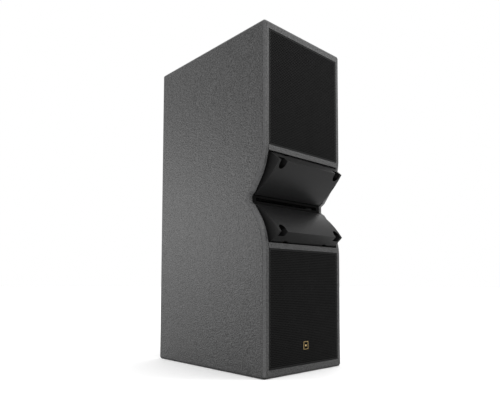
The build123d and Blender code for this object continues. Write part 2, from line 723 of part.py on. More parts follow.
def diaphragm(low):
    """Thin metal dome with its coil former reaching into the magnet's gap."""
    outer, inner = COIL_RADIUS + FOIL_HALF_SHEET, COIL_RADIUS - FOIL_HALF_SHEET
    outer_dome = dome_arc(outer, low + 2 * FOIL_HALF_SHEET, DIAPHRAGM_RISE)
    inner_dome = dome_arc(inner, low, DIAPHRAGM_RISE)
    end = low - FORMER_REACH
    skirt = Polyline(outer_dome @ 1, (outer, end), (inner, end), inner_dome @ 1)
    axis_edge = Line(inner_dome @ 0, outer_dome @ 0)
    return revolve(Plane.XZ * make_face([outer_dome, skirt, inner_dome, axis_edge]), Axis.Z)


def driver_cover(low):
    """Cup that closes the back of the driver."""
    high = low + DRIVER_COVER
    cup = rod(DRIVER_RADIUS, low, high)
    cup -= rod(DRIVER_RADIUS - COVER_RIM, low - BEYOND, high - COVER_WALL)
    return chamfer(cup.edges().group_by(Axis.Z)[-1], COVER_WALL)


# ---------------------------------------------------------------- woofers


def woofer_basket():
    """Cast frame: mounting flange, six spokes and a rear ring for the motor."""
    wall = BASKET_WALL
    shell = turned(
        (SURROUND_OUTER, -WOOFER_FLANGE),
        (WOOFER_RADIUS, -WOOFER_FLANGE),
        (WOOFER_RADIUS, 0),
        (WOOFER_CUTOUT - GAP, 0),
        (WOOFER_CUTOUT - GAP, BASKET_SKIRT),
        (BASKET_REAR_RADIUS + wall, BASKET_DEPTH),
        (MOTOR_SEAT_BORE, BASKET_DEPTH),
        (MOTOR_SEAT_BORE, BASKET_DEPTH - wall),
        (BASKET_REAR_RADIUS - wall, BASKET_DEPTH - wall),
        (BASKET_REAR_RADIUS - wall, SPIDER_DEPTH),
        (BASKET_LEDGE, SPIDER_DEPTH),
        (WOOFER_CUTOUT - wall, BASKET_SKIRT),
        (SURROUND_OUTER, 0),
    )
    window = Pos(WOOFER_CUTOUT, 0, WINDOW_MIDDLE) * Box(WINDOW_WIDTH, WINDOW_WIDTH, WINDOW_DEPTH)
    bolt_hole = rod(WOOFER_BOLT_RADIUS + FIT, -BEYOND, BEYOND)
    bolt_holes = round_the_axis(bolt_hole, WOOFER_BOLT_CIRCLE, WOOFER_BOLTS)
    return shell - round_the_axis_turned(window, BASKET_WINDOWS) - bolt_holes


def woofer_motor():
    """Top plate, ring magnet, back plate and vented pole in one assembly."""
    plate_low = BASKET_DEPTH
    magnet_low = plate_low + TOP_PLATE
    back_low = magnet_low + WOOFER_MAGNET
    plate_radius = MOTOR_RADIUS - PLATE_STEP
    motor = ring(WOOFER_COIL + WOOFER_COIL_GAP, plate_radius, plate_low, magnet_low)
    motor += ring(WOOFER_MAGNET_BORE, MOTOR_RADIUS, magnet_low, back_low)
    motor += ring(POLE_VENT_RADIUS, plate_radius, back_low, back_low + BACK_PLATE)
    return motor + ring(POLE_VENT_RADIUS, WOOFER_COIL - WOOFER_COIL_GAP, plate_low, back_low)


def woofer_cone():
    """Paper cone with its dust cap and the voice-coil former."""
    neck = WOOFER_COIL + FORMER_GROWTH
    former_end = BASKET_DEPTH + TOP_PLATE + FORMER_PAST_PLATE
    cone = turned(
        (CONE_RADIUS, -CONE_PROUD),
        (CONE_RADIUS, -CONE_PROUD + CONE_WALL),
        (neck, CONE_DEPTH + CONE_WALL),
        (neck, former_end),
        (neck - FORMER_WALL, former_end),
        (neck - FORMER_WALL, CONE_DEPTH),
        (neck, CONE_DEPTH - FORMER_WALL),
    )
    cap_rim = neck + CAP_OVERLAP
    front_dome = dome_arc(cap_rim, CAP_DEPTH, -CAP_RISE)
    rear_dome = dome_arc(cap_rim - FORMER_WALL, CAP_DEPTH + CONE_WALL, -CAP_RISE)
    rim_edge = Line(front_dome @ 1, rear_dome @ 1)
    axis_edge = Line(rear_dome @ 0, front_dome @ 0)
    return cone + revolve(Plane.XZ * make_face([front_dome, rim_edge, rear_dome, axis_edge]), Axis.Z)


def woofer_surround():
    """Half-roll of treated cloth between the cone and the frame."""
    inner, outer = CONE_RADIUS + GAP, SURROUND_OUTER - GAP
    front, rear = -ROLL_DEPTH, CLOTH - ROLL_DEPTH
    middle = (inner + outer) / 2
    rise = ROLL_SHARE * (outer - inner) / 2
    outline = [
        ThreePointArc((inner, front), (middle, front - rise), (outer, front)),
        Line((outer, front), (outer, rear)),
        ThreePointArc((outer, rear), (middle, rear - rise), (inner, rear)),
        Line((inner, rear), (inner, front)),
    ]
    return revolve(Plane.XZ * make_face(outline), Axis.Z)


def woofer_spider():
    """Corrugated cloth ring that centres the voice coil."""
    inner = WOOFER_COIL + FORMER_GROWTH + GAP
    outer = BASKET_REAR_RADIUS - BASKET_WALL - GAP
    folds = 2 * SPIDER_WAVES
    pitch = (outer - inner) / folds
    crests = [SPIDER_DEPTH + SPIDER_WAVE_HEIGHT * (index % 2) for index in range(folds + 1)]
    front = [(inner + pitch * index, depth) for index, depth in enumerate(crests)]
    back = [(radius, depth + CLOTH) for radius, depth in reversed(front)]
    return turned(*front, *back)


def woofer_bolts():
    """Pan-head screws through the flange into the baffle."""
    screw = rod(WOOFER_BOLT_RADIUS, -WOOFER_FLANGE, BAFFLE_THICKNESS)
    screw += rod(WOOFER_BOLT_HEAD_RADIUS, -WOOFER_FLANGE - WOOFER_BOLT_HEAD, -WOOFER_FLANGE)
    screws = round_the_axis(screw, WOOFER_BOLT_CIRCLE, WOOFER_BOLTS)
    return as_group([woofer_plane() * piece for piece in screws])


# ---------------------------------------------------------------- connectors, crossover and wiring


def plate_screw_planes():
    """Planes of the connector plate's screws on its flange, with local Z out of the cabinet."""
    x = (REBATE_WIDTH + WELL_WIDTH) / 4
    z = (REBATE_HEIGHT + WELL_HEIGHT) / 4
    depth = DEPTH - REBATE_DEPTH + PLATE_GASKET + PLATE_SHEET
    places = [(hand * x, level * z) for hand in (-1, 1) for level in (-1, 0, 1)]
    return [rearward(depth, MID_Z + level, hand) for hand, level in places]


def flange_ring(near, far, inner_grow):
    """Flat frame in the rear panel's rebate."""
    half, tall = REBATE_WIDTH / 2 - GAP, REBATE_HEIGHT / 2 - GAP
    inner_x, inner_z = WELL_WIDTH / 2 + inner_grow, WELL_HEIGHT / 2 + inner_grow
    frame = block((-half, half), (near, far), (MID_Z - tall, MID_Z + tall))
    frame -= block((-inner_x, inner_x), (near - GAP, far + GAP), (MID_Z - inner_z, MID_Z + inner_z))
    screw_hole = rod(PLATE_SCREW_RADIUS + FIT, -BEYOND, BEYOND)
    return frame - [plane * screw_hole for plane in plate_screw_planes()]


def connector_plate():
    """Sheet-steel dish that holds the sockets below the rear face."""
    face = DEPTH - REBATE_DEPTH + PLATE_GASKET
    floor = face - WELL_DEPTH
    half, tall = WELL_WIDTH / 2, WELL_HEIGHT / 2
    dish = block(
        (-half - PLATE_SHEET, half + PLATE_SHEET),
        (floor, face + PLATE_SHEET),
        (MID_Z - tall - PLATE_SHEET, MID_Z + tall + PLATE_SHEET),
    )
    dish -= block((-half, half), (floor + PLATE_SHEET, DEPTH + BEYOND), (MID_Z - tall, MID_Z + tall))
    dish += flange_ring(face, face + PLATE_SHEET, PLATE_SHEET / 2)
    socket_hole = rod(SOCKET_BODY_RADIUS + FIT, -BEYOND, BEYOND)
    return dish - [socket_plane(x) * socket_hole for x in (-SOCKET_X, SOCKET_X)]


def socket_plane(x):
    """Centre of a socket on the outside of the dish floor, with local Z out of the cabinet."""
    return rearward(DEPTH - REBATE_DEPTH + PLATE_GASKET - WELL_DEPTH + PLATE_SHEET, MID_Z, x)


def socket(x):
    """Four-pole locking loudspeaker socket: square flange, round body and a blind bore with two key slots."""
    body = Pos(0, 0, SOCKET_LIP / 2) * Box(SOCKET_FLANGE_NARROW, SOCKET_FLANGE, SOCKET_LIP)
    body += rod(SOCKET_BODY_RADIUS, SOCKET_LIP - SOCKET_LENGTH, SOCKET_LIP)
    bore_low = SOCKET_LIP - SOCKET_BORE_DEPTH
    bore = rod(SOCKET_BORE_RADIUS, bore_low, BEYOND)
    key = Pos(0, 0, (bore_low + BEYOND) / 2) * Box(SOCKET_KEY_LENGTH, SOCKET_KEY_WIDTH, BEYOND - bore_low)
    return socket_plane(x) * (body - bore - key)


def socket_contacts():
    """Four brass blades on the wall of each socket's bore."""
    place = Rot(0, 0, 180 / CONTACTS) * Pos(CONTACT_CENTRE, 0, -CONTACT_LENGTH)
    blade = place * Box(CONTACT_THICKNESS, CONTACT_WIDTH, CONTACT_LENGTH)
    blades = round_the_axis_turned(blade, CONTACTS)
    return as_group([socket_plane(x) * piece for x in (-SOCKET_X, SOCKET_X) for piece in blades])


def plate_screws():
    """Six pan-head screws that hold the connector plate."""
    screw = rod(PLATE_SCREW_RADIUS, -PLATE_SCREW_LENGTH, 0) + rod(PLATE_SCREW_HEAD, 0, PLATE_SHEET - FIT)
    slot = Pos(0, 0, PLATE_SHEET) * Box(2 * PLATE_SCREW_HEAD, SCREW_SLOT_WIDTH, PLATE_SHEET)
    return as_group([plane * (screw - slot) for plane in plate_screw_planes()])


def connector_group():
    """Everything in the connector well."""
    gasket_near = DEPTH - REBATE_DEPTH
    parts["connector_plate"] = connector_plate()
    parts["connector_gasket"] = flange_ring(gasket_near, gasket_near + PLATE_GASKET, PLATE_SHEET + GAP)
    parts["connector_screws"] = plate_screws()
    parts["input_socket"] = socket(-SOCKET_X)
    parts["link_socket"] = socket(SOCKET_X)
    parts["socket_contacts"] = socket_contacts()


def board_top():
    """Height of the crossover board's upper face."""
    return MID_Z - SHELF_OFF + SPACER_HEIGHT + BOARD_THICKNESS


def crossover():
    """Board on four spacers on the lower shelf, with its coils and capacitors."""
    top = board_top()
    low = top - BOARD_THICKNESS
    half, deep = BOARD_LENGTH / 2, BOARD_WIDTH / 2
    parts["crossover_board"] = block((-half, half), (BOARD_DEPTH - deep, BOARD_DEPTH + deep), (low, top))
    spacer = rod(SPACER_RADIUS, low - SPACER_HEIGHT, low)
    spacer_x, spacer_y = half - BOARD_MARGIN, deep - BOARD_MARGIN
    corners = [(x, y) for x in (-spacer_x, spacer_x) for y in (-spacer_y, spacer_y)]
    spacers = [Pos(x, at_depth(BOARD_DEPTH + y), 0) * spacer for x, y in corners]
    parts["crossover_spacers"] = as_group(spacers)
    coil = ring(COIL_INNER, COIL_OUTER, top, top + COIL_HEIGHT)
    coils = [Pos(x, at_depth(BOARD_DEPTH + COIL_ROW), 0) * coil for x in COMPONENT_X]
    parts["crossover_coils"] = as_group(coils)
    can = Pos(0, 0, top + CAPACITOR_RADIUS) * Rot(0, 90, 0) * Cylinder(CAPACITOR_RADIUS, CAPACITOR_LENGTH)
    cans = [Pos(x, at_depth(BOARD_DEPTH + CAPACITOR_ROW), 0) * can for x in COMPONENT_X]
    parts["crossover_capacitors"] = as_group(cans)


def wire(points, radii):
    """Round cable along straight runs joined by arcs."""
    path = FilletPolyline(*points, radius=radii)
    return sweep(Plane(path @ 0, z_dir=path % 0) * Circle(WIRE_RADIUS), path)


def internal_wiring():
    """Cables from the input socket to the crossover and from there to the three drivers."""
    top = board_top()
    floor = DEPTH - REBATE_DEPTH + PLATE_GASKET - WELL_DEPTH + PLATE_SHEET
    socket_back = at_depth(floor + SOCKET_LIP - SOCKET_LENGTH)
    driver_length = DRIVER_FRONT_PLATE + DRIVER_MAGNET + DRIVER_TOP_PLATE + DRIVER_COVER
    driver_back = at_depth(waveguide_depth() + WAVEGUIDE_LENGTH + driver_length)
    woofer_back = at_depth(BAFFLE_DEPTH + BASKET_DEPTH + TOP_PLATE + WOOFER_MAGNET + BACK_PLATE)
    board_y, feed_y, tweeter_y = at_depth(BOARD_DEPTH), at_depth(FEED_DEPTH), at_depth(TWEETER_DEPTH)
    wire_y, lower_y = at_depth(WIRE_DEPTH), at_depth(LOWER_WIRE_DEPTH)
    upper_z = CHAMBER_Z - 2 * MOTOR_RADIUS / 3
    lower_z = HEIGHT - upper_z
    first_rise, second_rise = UPPER_WIRE_HEIGHTS
    feed = [(-SOCKET_X, socket_back, MID_Z), (-SOCKET_X, feed_y, MID_Z), (-SOCKET_X, feed_y, top)]
    tweeter = [(TWEETER_X, tweeter_y, top), (TWEETER_X, tweeter_y, MID_Z), (TWEETER_X, driver_back, MID_Z)]
    upper = [
        (WIRE_X, board_y, top),
        (WIRE_X, board_y, top + first_rise),
        (WIRE_X, wire_y, top + second_rise),
        (WIRE_X, wire_y, upper_z),
        (WIRE_X, woofer_back, upper_z),
    ]
    lower = [
        (WIRE_X, lower_y, top),
        (WIRE_X, lower_y, top + LOWER_WIRE_HEIGHT),
        (WIRE_X, wire_y, top + LOWER_WIRE_HEIGHT),
        (WIRE_X, wire_y, lower_z),
        (WIRE_X, woofer_back, lower_z),
    ]
    return as_group([
        wire(feed, [WIRE_BEND]),
        wire(tweeter, [WIRE_BEND]),
        wire(upper, [WIRE_RISE, WIRE_RISE, WIRE_WIDE_BEND]),
        wire(lower, [WIRE_DROP / 2, WIRE_DROP / 2, WIRE_WIDE_BEND]),
    ])


# ---------------------------------------------------------------- assembly


def assemble():
    """Every node of the loudspeaker, by name."""
    cabinet_panels()
    add_halves("baffle", woofer_baffle())
    add_halves("reflex_ports", reflex_ports())
    add_halves("grille", grille())
    add_halves("grille_foam", grille_foam())
    add_halves("lining", lining())
    parts["badge"] = badge()
    add_halves("fin", fin())
    add_halves("fin_lock_screws", lock_screws())
    parts["fin_hinge_pins"] = hinge_pins()
    add_halves("v_baffle", v_baffle())
    parts["throat_frame"] = throat_frame()
    parts["waveguide"] = waveguide()
    parts["waveguide_gasket"] = waveguide_gasket()
    compression_driver()
    add_halves("woofer_basket", woofer_plane() * woofer_basket())
    add_halves("woofer_motor", woofer_plane() * woofer_motor())
    add_halves("woofer_cone", woofer_plane() * woofer_cone())
    add_halves("woofer_surround", woofer_plane() * woofer_surround())
    add_halves("woofer_spider", woofer_plane() * woofer_spider())
    add_halves("woofer_bolts", woofer_bolts())
    connector_group()
    crossover()
    parts["internal_wiring"] = internal_wiring()


def write_parts():
    """One STEP file per node."""
    os.makedirs("parts", exist_ok=True)
    for name, piece in parts.items():
        export_step(piece, "parts/" + name + ".step")
        print(name, len(piece.solids()), round(piece.volume / 1000, 1), "cm3")


assemble()
write_parts()
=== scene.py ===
import json
from math import cos, pi, radians, sin

import bmesh
import bpy
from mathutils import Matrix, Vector


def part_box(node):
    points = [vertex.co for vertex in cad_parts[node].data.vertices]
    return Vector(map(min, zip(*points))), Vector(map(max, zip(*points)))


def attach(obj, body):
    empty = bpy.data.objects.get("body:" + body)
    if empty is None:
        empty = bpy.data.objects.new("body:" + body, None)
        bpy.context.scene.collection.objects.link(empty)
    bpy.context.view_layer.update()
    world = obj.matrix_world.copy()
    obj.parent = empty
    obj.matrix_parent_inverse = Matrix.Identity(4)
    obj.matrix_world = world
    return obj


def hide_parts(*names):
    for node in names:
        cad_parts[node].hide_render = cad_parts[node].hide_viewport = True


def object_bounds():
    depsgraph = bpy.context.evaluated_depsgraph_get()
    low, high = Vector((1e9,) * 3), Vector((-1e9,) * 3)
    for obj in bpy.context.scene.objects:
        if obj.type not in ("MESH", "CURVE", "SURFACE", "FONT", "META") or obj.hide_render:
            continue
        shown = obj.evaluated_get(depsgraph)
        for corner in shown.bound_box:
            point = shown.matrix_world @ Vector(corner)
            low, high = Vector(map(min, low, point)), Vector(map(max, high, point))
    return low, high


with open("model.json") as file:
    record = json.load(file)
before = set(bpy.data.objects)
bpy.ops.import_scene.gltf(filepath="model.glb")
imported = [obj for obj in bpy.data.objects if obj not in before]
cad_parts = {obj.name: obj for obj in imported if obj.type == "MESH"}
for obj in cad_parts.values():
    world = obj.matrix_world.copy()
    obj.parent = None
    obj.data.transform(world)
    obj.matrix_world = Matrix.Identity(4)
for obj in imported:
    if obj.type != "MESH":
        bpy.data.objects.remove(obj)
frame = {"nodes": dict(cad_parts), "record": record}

# Looks for the line-array loudspeaker. Metres, in the frame's own axes: the front faces -Y and +Z is up.
# The two grilles and the badge are rebuilt here; every other piece is the frame's own, with a material.

CAD_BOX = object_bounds()
NODES = frame["nodes"]

# Camera
CAMERA_PLACE = (-1.1497, -1.2171, 0.2599)
CAMERA_HEADING = 44.708  # degrees from +Y towards +X
CAMERA_PITCH = 3.595
CAMERA_ROLL = -0.097
LENS = 36.09
SENSOR = 36.0
SHIFT = (-0.0172, 0.1046)

# Lights and floor
MIDDLE = (CAD_BOX[0] + CAD_BOX[1]) / 2
LEFT_PLACE = (-1.7, 2.0, 0.75)
LEFT_SIZE = (0.9, 0.7)  # width and height
LEFT_POWER = 17.0
RIGHT_PLACE = (2.2, 0.7, 1.1)
RIGHT_SIZE = (0.5, 2.0)
RIGHT_POWER = 5.0
FRONT_PLACE = (1.75, -2.2, 2.0)
FRONT_SIZE = (1.0, 1.0)
FRONT_POWER = 26.0
SUN_STRENGTH = 1.3
SUN_SPREAD = 70  # degrees
SUN_TILT = 12  # degrees towards the front
WORLD_STRENGTH = 1.0
FLOOR_HALF = 30.0
FLOOR_SHADE = 0.88
FLOOR_ROUGHNESS = 0.9

# Masks. Each pair is where a mask starts and where it is full.
NOISE_RANGE = (0.3, 0.7)  # where most of a noise's values lie
EDGE_TURN = (0.97, 0.8)  # cosine between a face and its rounded edge
ROUNDING_TURN = (0.998, 0.93)  # largest part of the normal along one axis
AWAY_TURN = (0.0, 0.02)  # height above the middle, times the normal's rise
DOWN_TURN = (-0.1, -0.5)  # the normal's rise
# Painted shade near the floor: the cabinet's downward faces below this height are darkened.
PAINTED_SHADE_HEIGHT = (0.03, 0.015)  # above the floor
EDGE_SAMPLES = 4

# Cabinet paint
BEAD_SIZE = 0.0037
BEAD_RANGE = (0.34, 0.66)  # noise from hollow to crest
BEAD_RELIEF = 0.0015
PAINT_CLOUD = 0.03
PAINT_DRIFT = 0.4
# Painted highlight on the cabinet: width of its edge mask, and the light colour that the rounded edges are
# taken towards.
EDGE_HIGHLIGHT_WIDTH = 0.0012
PAINTED_EDGE_HIGHLIGHT = (0.14, 0.14, 0.142)
UNDERSIDE_SHADE = 0.003

# Everyday surfaces
COAT_ROUGHNESS = 0.1
WEAR_WIDTH = 0.0006
CLOUD_TO_GRAIN = 25
BLACK = (0.008, 0.008, 0.008)
SOOT = (0.02, 0.02, 0.021)

# Blender's own numbers: sockets of the colour mix node, and radians per metre of a wave at scale 1
MIX_FACTOR, MIX_FIRST, MIX_SECOND, MIX_RESULT = 0, 6, 7, 2
WAVE_RATE = 20

# Perforated sheet of the grilles
HOLE_PITCH = 0.0057
HOLE_RADIUS = 0.0023
HOLE_SIDES = 8
ROW_PITCH = HOLE_PITCH * cos(radians(30))
PLAIN_EDGE = 0.004
SHEET = 0.0015

# Badge
BADGE_RIM = 0.0010
BADGE_BEVEL = 0.0003
BADGE_MARK = 0.0034

WELD = 1e-6  # vertices of a new piece closer than this are one


# ---------------------------------------------------------------- node materials


def grey(level):
    """Neutral colour."""
    return (level, level, level)


class Surface:
    """A node material, built up one detail at a time. Textures follow the frame's own coordinates."""

    def __init__(self, name, metal=0.0, specular=0.5, coat=0.0, sheen=0.0):
        self.material = bpy.data.materials.new(name)
        self.material.use_nodes = True
        self.tree = self.material.node_tree
        self.shader = self.tree.nodes["Principled BSDF"]
        self.shader.inputs["Metallic"].default_value = metal
        self.shader.inputs["Specular IOR Level"].default_value = specular
        self.shader.inputs["Coat Weight"].default_value = coat
        self.shader.inputs["Coat Roughness"].default_value = COAT_ROUGHNESS
        self.shader.inputs["Sheen Weight"].default_value = sheen
        self.place = self.add("ShaderNodeTexCoord").outputs["Object"]

    def add(self, kind, **settings):
        """New node with some of its settings."""
        node = self.tree.nodes.new(kind)
        for key, value in settings.items():
            setattr(node, key, value)
        return node

    def feed(self, socket, value):
        """Link a socket to another node's output, or set it to a plain value."""
        if isinstance(value, bpy.types.NodeSocket):
            self.tree.links.new(value, socket)
        else:
            socket.default_value = value

    def math(self, operation, first, second=0.0):
        """One arithmetic step."""
        node = self.add("ShaderNodeMath", operation=operation)
        self.feed(node.inputs[0], first)
        self.feed(node.inputs[1], second)
        return node.outputs[0]

    def split(self, vector):
        """A vector's three parts."""
        node = self.add("ShaderNodeSeparateXYZ")
        self.feed(node.inputs[0], vector)
        return node.outputs

    def normal(self):
        """Direction that the surface faces."""
        return self.add("ShaderNodeNewGeometry").outputs["Normal"]

    def stretched(self, stretch):
        """Coordinates scaled along each axis."""
        node = self.add("ShaderNodeMapping")
        self.feed(node.inputs["Vector"], self.place)
        node.inputs["Scale"].default_value = stretch
        return node.outputs["Vector"]

    def noise(self, size, detail=2.0, rough=0.5, stretch=(1, 1, 1), twist=0.0):
        """Soft noise whose blobs are about this size in metres."""
        node = self.add("ShaderNodeTexNoise")
        self.feed(node.inputs["Vector"], self.stretched(stretch))
        node.inputs["Scale"].default_value = 1 / size
        node.inputs["Detail"].default_value = detail
        node.inputs["Roughness"].default_value = rough
        node.inputs["Distortion"].default_value = twist
        return node.outputs["Fac"]

    def cells(self, size, feature="F1"):
        """Distance inside a pattern of cells of about this size."""
        node = self.add("ShaderNodeTexVoronoi", feature=feature)
        self.feed(node.inputs["Vector"], self.place)
        node.inputs["Scale"].default_value = 1 / size
        return node.outputs["Distance"]

    def bands(self, size, direction, twist=0.0):
        """Parallel bands across one axis. The size is in metres for each radian of the wave."""
        node = self.add("ShaderNodeTexWave", bands_direction=direction)
        self.feed(node.inputs["Vector"], self.place)
        node.inputs["Scale"].default_value = 1 / (size * WAVE_RATE)
        node.inputs["Distortion"].default_value = twist
        return node.outputs["Fac"]

    def remap(self, value, low, high, new_low=0.0, new_high=1.0):
        """A value's range stretched to another, and held there."""
        node = self.add("ShaderNodeMapRange")
        self.feed(node.inputs["Value"], value)
        node.inputs["From Min"].default_value = low
        node.inputs["From Max"].default_value = high
        node.inputs["To Min"].default_value = new_low
        node.inputs["To Max"].default_value = new_high
        return node.outputs["Result"]

    def mixed(self, factor, first, second):
        """Colour between two colours."""
        node = self.add("ShaderNodeMix", data_type="RGBA")
        self.feed(node.inputs[MIX_FACTOR], factor)
        for socket, colour in ((node.inputs[MIX_FIRST], first), (node.inputs[MIX_SECOND], second)):
            self.feed(socket, colour if isinstance(colour, bpy.types.NodeSocket) else (*colour, 1.0))
        return node.outputs[MIX_RESULT]

    def mottled(self, value, dark, light):
        """Colour that follows a noise from dark to light."""
        return self.mixed(self.remap(value, *NOISE_RANGE), dark, light)

    def tinted(self, body, value, tint, amount, low=0.4, high=0.7):
        """Colour taken part of the way to a tint where a value is high."""
        return self.mixed(self.remap(value, low, high, 0.0, amount), body, tint)

    def edges(self, radius):
        """1 on sharp edges and 0 on flat faces: real wear on the metals, and a painted highlight on the
        cabinet paint and the fins.
        """
        rounded = self.add("ShaderNodeBevel", samples=EDGE_SAMPLES)
        rounded.inputs["Radius"].default_value = radius
        node = self.add("ShaderNodeVectorMath", operation="DOT_PRODUCT")
        self.feed(node.inputs[0], rounded.outputs["Normal"])
        self.feed(node.inputs[1], self.normal())
        return self.remap(node.outputs["Value"], *EDGE_TURN)

    def facing_away(self):
        """1 where the upper half's surfaces look up and the lower half's look down, 0 elsewhere."""
        above = self.math("SUBTRACT", self.split(self.place)["Z"], MIDDLE.z)
        rise = self.split(self.normal())["Z"]
        return self.remap(self.math("MULTIPLY", above, rise), *AWAY_TURN)

    def underside(self):
        """1 where the surface looks down close to the floor, 0 elsewhere."""
        down = self.remap(self.split(self.normal())["Z"], *DOWN_TURN)
        close = self.remap(self.split(self.place)["Z"], *PAINTED_SHADE_HEIGHT)
        return self.math("MULTIPLY", down, close)

    def rounding(self):
        """1 where the surface turns round an edge and 0 on the flat faces along the axes."""
        x, y, z = [self.math("ABSOLUTE", part) for part in self.split(self.normal())]
        largest = self.math("MAXIMUM", self.math("MAXIMUM", x, y), z)
        return self.remap(largest, *ROUNDING_TURN)

    def colour(self, value):
        """Base colour."""
        self.feed(self.shader.inputs["Base Color"], value)

    def roughness(self, value, low, high):
        """Roughness that follows a noise from low to high."""
        self.feed(self.shader.inputs["Roughness"], self.remap(value, *NOISE_RANGE, low, high))

    def relief(self, height, depth):
        """Bump of this depth in metres."""
        node = self.add("ShaderNodeBump")
        node.inputs["Distance"].default_value = depth
        self.feed(node.inputs["Height"], height)
        self.feed(self.shader.inputs["Normal"], node.outputs["Normal"])


def plain(name, dark, light, size, rough, depth=0.0001, wear=None, **shine):
    """Everyday surface: mottled between two colours, with fine relief and worn edges."""
    surface = Surface(name, **shine)
    grain = surface.noise(size, detail=4.0)
    cloud = surface.noise(size * CLOUD_TO_GRAIN)
    body = surface.mottled(grain, dark, light)
    body = surface.tinted(body, cloud, dark, amount=0.35, low=0.3)
    if wear:
        body = surface.mixed(surface.math("MULTIPLY", surface.edges(WEAR_WIDTH), grain), body, wear)
    surface.colour(body)
    surface.roughness(grain, *rough)
    surface.relief(grain, depth)
    return surface.material


def cabinet_paint():
    """Hard structured paint: small beads on dark grey, with a painted highlight round the edges and painted
    shade underneath near the floor.
    """
    surface = Surface("cabinet_paint", specular=0.26)
    beads = surface.noise(BEAD_SIZE, detail=1.5, stretch=(1, 0.7, 1), twist=0.2)
    clouds = surface.noise(PAINT_CLOUD)
    drift = surface.noise(PAINT_DRIFT, detail=1.0)
    hollow, crest = (0.007, 0.007, 0.0071), (0.060, 0.060, 0.0605)
    body = surface.mixed(surface.remap(beads, *BEAD_RANGE), hollow, crest)
    body = surface.tinted(body, clouds, (0.022, 0.022, 0.0222), amount=0.2, low=0.35)
    body = surface.tinted(body, drift, (0.036, 0.036, 0.0363), amount=0.15)
    # Painted highlight: the rounded edges are taken part of the way to a light grey.
    body = surface.tinted(body, surface.rounding(), PAINTED_EDGE_HIGHLIGHT, amount=0.35, low=0.0, high=1.0)
    # Painted highlight: sharp edges, broken up by the beads, are lightened further.
    body = surface.mixed(surface.math("MULTIPLY", surface.edges(EDGE_HIGHLIGHT_WIDTH), beads), body, PAINTED_EDGE_HIGHLIGHT)
    # Painted shade: surfaces that look down close to the floor are made near black.
    surface.colour(surface.mixed(surface.underside(), body, grey(UNDERSIDE_SHADE)))
    surface.roughness(beads, low=0.34, high=0.46)
    surface.relief(beads, BEAD_RELIEF)
    return surface.material


def plywood():
    """Birch plywood stained black, with its layers showing as faint bands."""
    surface = Surface("stained_plywood", specular=0.3)
    layers = surface.bands(size=0.0015, direction="Y", twist=1.5)
    grain = surface.noise(size=0.003, detail=5.0, stretch=(1, 1, 8))
    body = surface.mottled(grain, dark=(0.012, 0.011, 0.010), light=(0.03, 0.027, 0.024))
    surface.colour(surface.tinted(body, layers, (0.05, 0.04, 0.03), amount=0.3, low=0.2, high=0.8))
    surface.roughness(grain, low=0.6, high=0.85)
    surface.relief(grain, depth=0.0002)
    return surface.material


def grille_paint():
    """Black powder coat on steel sheet."""
    surface = Surface("grille_powder_coat", specular=0.06)
    grain = surface.noise(size=0.0006, detail=3.0)
    dust = surface.noise(size=0.03, detail=3.0)
    body = surface.mottled(grain, dark=grey(0.005), light=grey(0.010))
    surface.colour(surface.tinted(body, dust, grey(0.013), amount=0.2))
    surface.roughness(grain, low=0.5, high=0.7)
    surface.relief(grain, depth=0.00005)
    return surface.material


def foam():
    """Open-cell foam."""
    surface = Surface("open_cell_foam", specular=0.0)
    pores = surface.cells(size=0.0012)
    surface.colour(surface.mixed(surface.remap(pores, low=0.1, high=0.8), grey(0.001), grey(0.004)))
    surface.roughness(pores, low=0.85, high=1.0)
    surface.relief(pores, depth=0.0008)
    return surface.material


def fin_plastic():
    """Black moulded plastic with a fine grain, painted shade on the returns and a painted highlight along its
    edges.
    """
    surface = Surface("moulded_fin_plastic", specular=0.12)
    grain = surface.noise(size=0.0011, detail=3.0, rough=0.6)
    flow = surface.noise(size=0.09, stretch=(0.4, 1, 1))
    body = surface.mottled(grain, dark=(0.006, 0.006, 0.0062), light=(0.011, 0.011, 0.0112))
    body = surface.tinted(body, flow, grey(0.013), amount=0.3, low=0.35)
    # Painted shade: the returns, which face away from the middle, are made darker.
    body = surface.mixed(surface.facing_away(), body, grey(0.002))
    # Painted highlight: a light line along the fins' sharp edges, broken up by the grain.
    edge_highlight = surface.math("MULTIPLY", surface.edges(radius=0.0008), grain)
    surface.colour(surface.mixed(edge_highlight, body, grey(0.05)))
    surface.roughness(grain, low=0.40, high=0.50)
    surface.relief(grain, depth=0.00012)
    return surface.material


def badge_gold():
    """Satin gold-toned metal, brushed across."""
    surface = Surface("badge_gold", metal=1.0)
    brushed = surface.noise(size=0.0009, detail=4.0, stretch=(0.1, 1, 3))
    stain = surface.noise(size=0.006)
    body = surface.mottled(brushed, dark=(0.50, 0.36, 0.16), light=(0.72, 0.55, 0.28))
    surface.colour(surface.tinted(body, stain, (0.38, 0.27, 0.12), amount=0.3))
    surface.roughness(brushed, low=0.3, high=0.5)
    surface.relief(brushed, depth=0.00003)
    return surface.material


def winding():
    """Enamelled copper wire, turn beside turn."""
    surface = Surface("copper_winding", metal=1.0, coat=0.4)
    turns = surface.bands(size=0.0012, direction="Z")
    tint = surface.noise(size=0.004, detail=3.0)
    gaps = surface.remap(turns, low=0.0, high=0.3, new_low=0.7, new_high=0.0)
    body = surface.mottled(tint, dark=(0.42, 0.14, 0.05), light=(0.62, 0.27, 0.11))
    surface.colour(surface.mixed(gaps, body, (0.10, 0.03, 0.01)))
    surface.roughness(tint, low=0.25, high=0.4)
    surface.relief(turns, depth=0.0004)
    return surface.material


